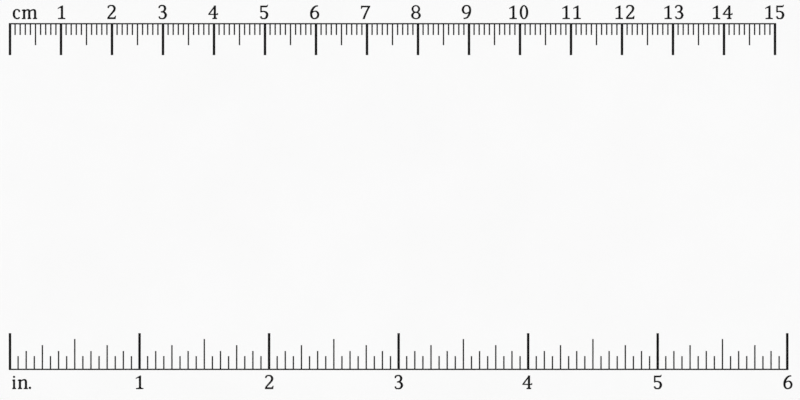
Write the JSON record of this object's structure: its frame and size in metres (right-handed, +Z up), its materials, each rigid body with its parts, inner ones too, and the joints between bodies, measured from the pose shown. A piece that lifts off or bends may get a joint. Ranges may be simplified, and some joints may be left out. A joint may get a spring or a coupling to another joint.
{
  "type": "ruler",
  "caption": "Flat white measuring board with a centimetre scale along one long edge, an inch scale along the other, engraved black-filled marks and a cork backing.",
  "frame": {"origin": "middle of the underside of the cork backing", "axes": "+X along both scales, away from their zero; +Y across the board, towards the centimetre scale; +Z up, out of the marked face"},
  "size_m": [0.16, 0.08, 0.004],
  "materials": {
    "white_plastic": "fine satin",
    "black_enamel": "black enamel, satin",
    "cork": "fine-grained pressed cork",
    "adhesive_film": "milky adhesive film"
  },
  "bodies": {
    "root": {"face_plate": "white_plastic", "adhesive_film": "adhesive_film", "cork_backing": "cork", "cm_baseline": "black_enamel", "cm_centimetre_lines": "black_enamel", "cm_half_lines": "black_enamel", "cm_millimetre_lines": "black_enamel", "cm_unit_label": "black_enamel", "inch_baseline": "black_enamel", "inch_whole_lines": "black_enamel", "inch_half_lines": "black_enamel", "inch_quarter_lines": "black_enamel", "inch_eighth_lines": "black_enamel", "inch_sixteenth_lines": "black_enamel", "inch_unit_label": "black_enamel", "cm_numeral_1": "black_enamel", "cm_numeral_2": "black_enamel", "cm_numeral_3": "black_enamel", "cm_numeral_4": "black_enamel", "cm_numeral_5": "black_enamel", "cm_numeral_6": "black_enamel", "cm_numeral_7": "black_enamel", "cm_numeral_8": "black_enamel", "cm_numeral_9": "black_enamel", "cm_numeral_10": "black_enamel", "cm_numeral_11": "black_enamel", "cm_numeral_12": "black_enamel", "cm_numeral_13": "black_enamel", "cm_numeral_14": "black_enamel", "cm_numeral_15": "black_enamel", "inch_numeral_1": "black_enamel", "inch_numeral_2": "black_enamel", "inch_numeral_3": "black_enamel", "inch_numeral_4": "black_enamel", "inch_numeral_5": "black_enamel", "inch_numeral_6": "black_enamel"}
  },
  "joints": []
}
